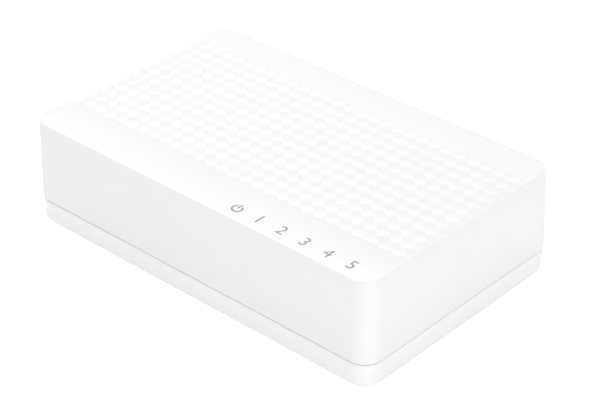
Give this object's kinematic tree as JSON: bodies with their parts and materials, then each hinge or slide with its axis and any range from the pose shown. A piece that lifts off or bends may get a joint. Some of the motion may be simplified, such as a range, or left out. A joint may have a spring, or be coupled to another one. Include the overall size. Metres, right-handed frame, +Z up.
{
  "type": "desktop network switch",
  "caption": "Small white two-shell desktop network switch with a diamond-patterned top band, lamp marks, and modular sockets and a power socket on the back.",
  "frame": {"origin": "under the middle of the case, on the surface that the feet stand on", "axes": "+X to the right along the front, +Y to the back where the sockets are, +Z up"},
  "size_m": [0.1, 0.062, 0.027],
  "materials": {
    "cover_white": "satin, very finely grained",
    "base_white": "satin, very finely grained",
    "foot_rubber": "matte",
    "label_paper": "satin film",
    "screw_steel": "bright zinc",
    "board_green": "solder mask",
    "jack_black": "satin",
    "contact_gold": "gold flash",
    "contact_nickel": "nickel plate",
    "chip_black": "moulding compound",
    "can_metal": "drawn can",
    "ferrite_grey": "pressed ferrite",
    "capacitor_sleeve": "bright can",
    "ceramic_blue": "dipped coating",
    "lamp_clear": "clear over phosphor",
    "guide_clear": "polished clear plastic"
  },
  "bodies": {
    "case": {"top_cover": "cover_white", "bottom_case": "base_white", "foot_front_left": "foot_rubber", "foot_front_right": "foot_rubber", "foot_back_left": "foot_rubber", "foot_back_right": "foot_rubber", "rating_label": "label_paper", "case_screw_1": "screw_steel", "case_screw_2": "screw_steel", "circuit_board": "board_green", "jack_housing_1": "jack_black", "jack_housing_2": "jack_black", "jack_housing_3": "jack_black", "jack_housing_4": "jack_black", "jack_housing_5": "jack_black", "power_jack_housing": "jack_black", "power_jack_pin": "contact_nickel", "switch_chip": "chip_black", "magnetics_1": "chip_black", "magnetics_2": "chip_black", "magnetics_3": "chip_black", "magnetics_4": "chip_black", "magnetics_5": "chip_black", "settings_memory": "chip_black", "crystal": "can_metal", "regulator": "chip_black", "inductor": "ferrite_grey", "bulk_capacitor_1": "capacitor_sleeve", "bulk_capacitor_2": "capacitor_sleeve", "surge_capacitor": "ceramic_blue", "led_power": "lamp_clear", "led_port_1": "lamp_clear", "led_port_2": "lamp_clear", "led_port_3": "lamp_clear", "led_port_4": "lamp_clear", "led_port_5": "lamp_clear", "light_guide": "guide_clear"},
    "contacts_1": {"jack_contacts_1": "contact_gold"},
    "contacts_2": {"jack_contacts_2": "contact_gold"},
    "contacts_3": {"jack_contacts_3": "contact_gold"},
    "contacts_4": {"jack_contacts_4": "contact_gold"},
    "contacts_5": {"jack_contacts_5": "contact_gold"},
    "power_leaf": {"power_jack_leaf": "contact_nickel"}
  },
  "joints": [
    {"name": "contacts_1_flex", "type": "hinge", "parent": "case", "child": "contacts_1", "pos_m": [0.0264, 0.0277, 0.0186], "axis": [-1, 0, 0], "range_deg": [0, 14], "stiffness_Nm_per_rad": 0.05},
    {"name": "contacts_2_flex", "type": "hinge", "parent": "case", "child": "contacts_2", "pos_m": [0.0104, 0.0277, 0.0186], "axis": [-1, 0, 0], "range_deg": [0, 14], "stiffness_Nm_per_rad": 0.05},
    {"name": "contacts_3_flex", "type": "hinge", "parent": "case", "child": "contacts_3", "pos_m": [-0.0056, 0.0277, 0.0186], "axis": [-1, 0, 0], "range_deg": [0, 14], "stiffness_Nm_per_rad": 0.05},
    {"name": "contacts_4_flex", "type": "hinge", "parent": "case", "child": "contacts_4", "pos_m": [-0.0216, 0.0277, 0.0186], "axis": [-1, 0, 0], "range_deg": [0, 14], "stiffness_Nm_per_rad": 0.05},
    {"name": "contacts_5_flex", "type": "hinge", "parent": "case", "child": "contacts_5", "pos_m": [-0.0376, 0.0277, 0.0186], "axis": [-1, 0, 0], "range_deg": [0, 14], "stiffness_Nm_per_rad": 0.05},
    {"name": "power_leaf_flex", "type": "hinge", "parent": "case", "child": "power_leaf", "pos_m": [0.0415, 0.0194, 0.0098], "axis": [-1, 0, 0], "range_deg": [0, 6], "stiffness_Nm_per_rad": 0.05}
  ]
}
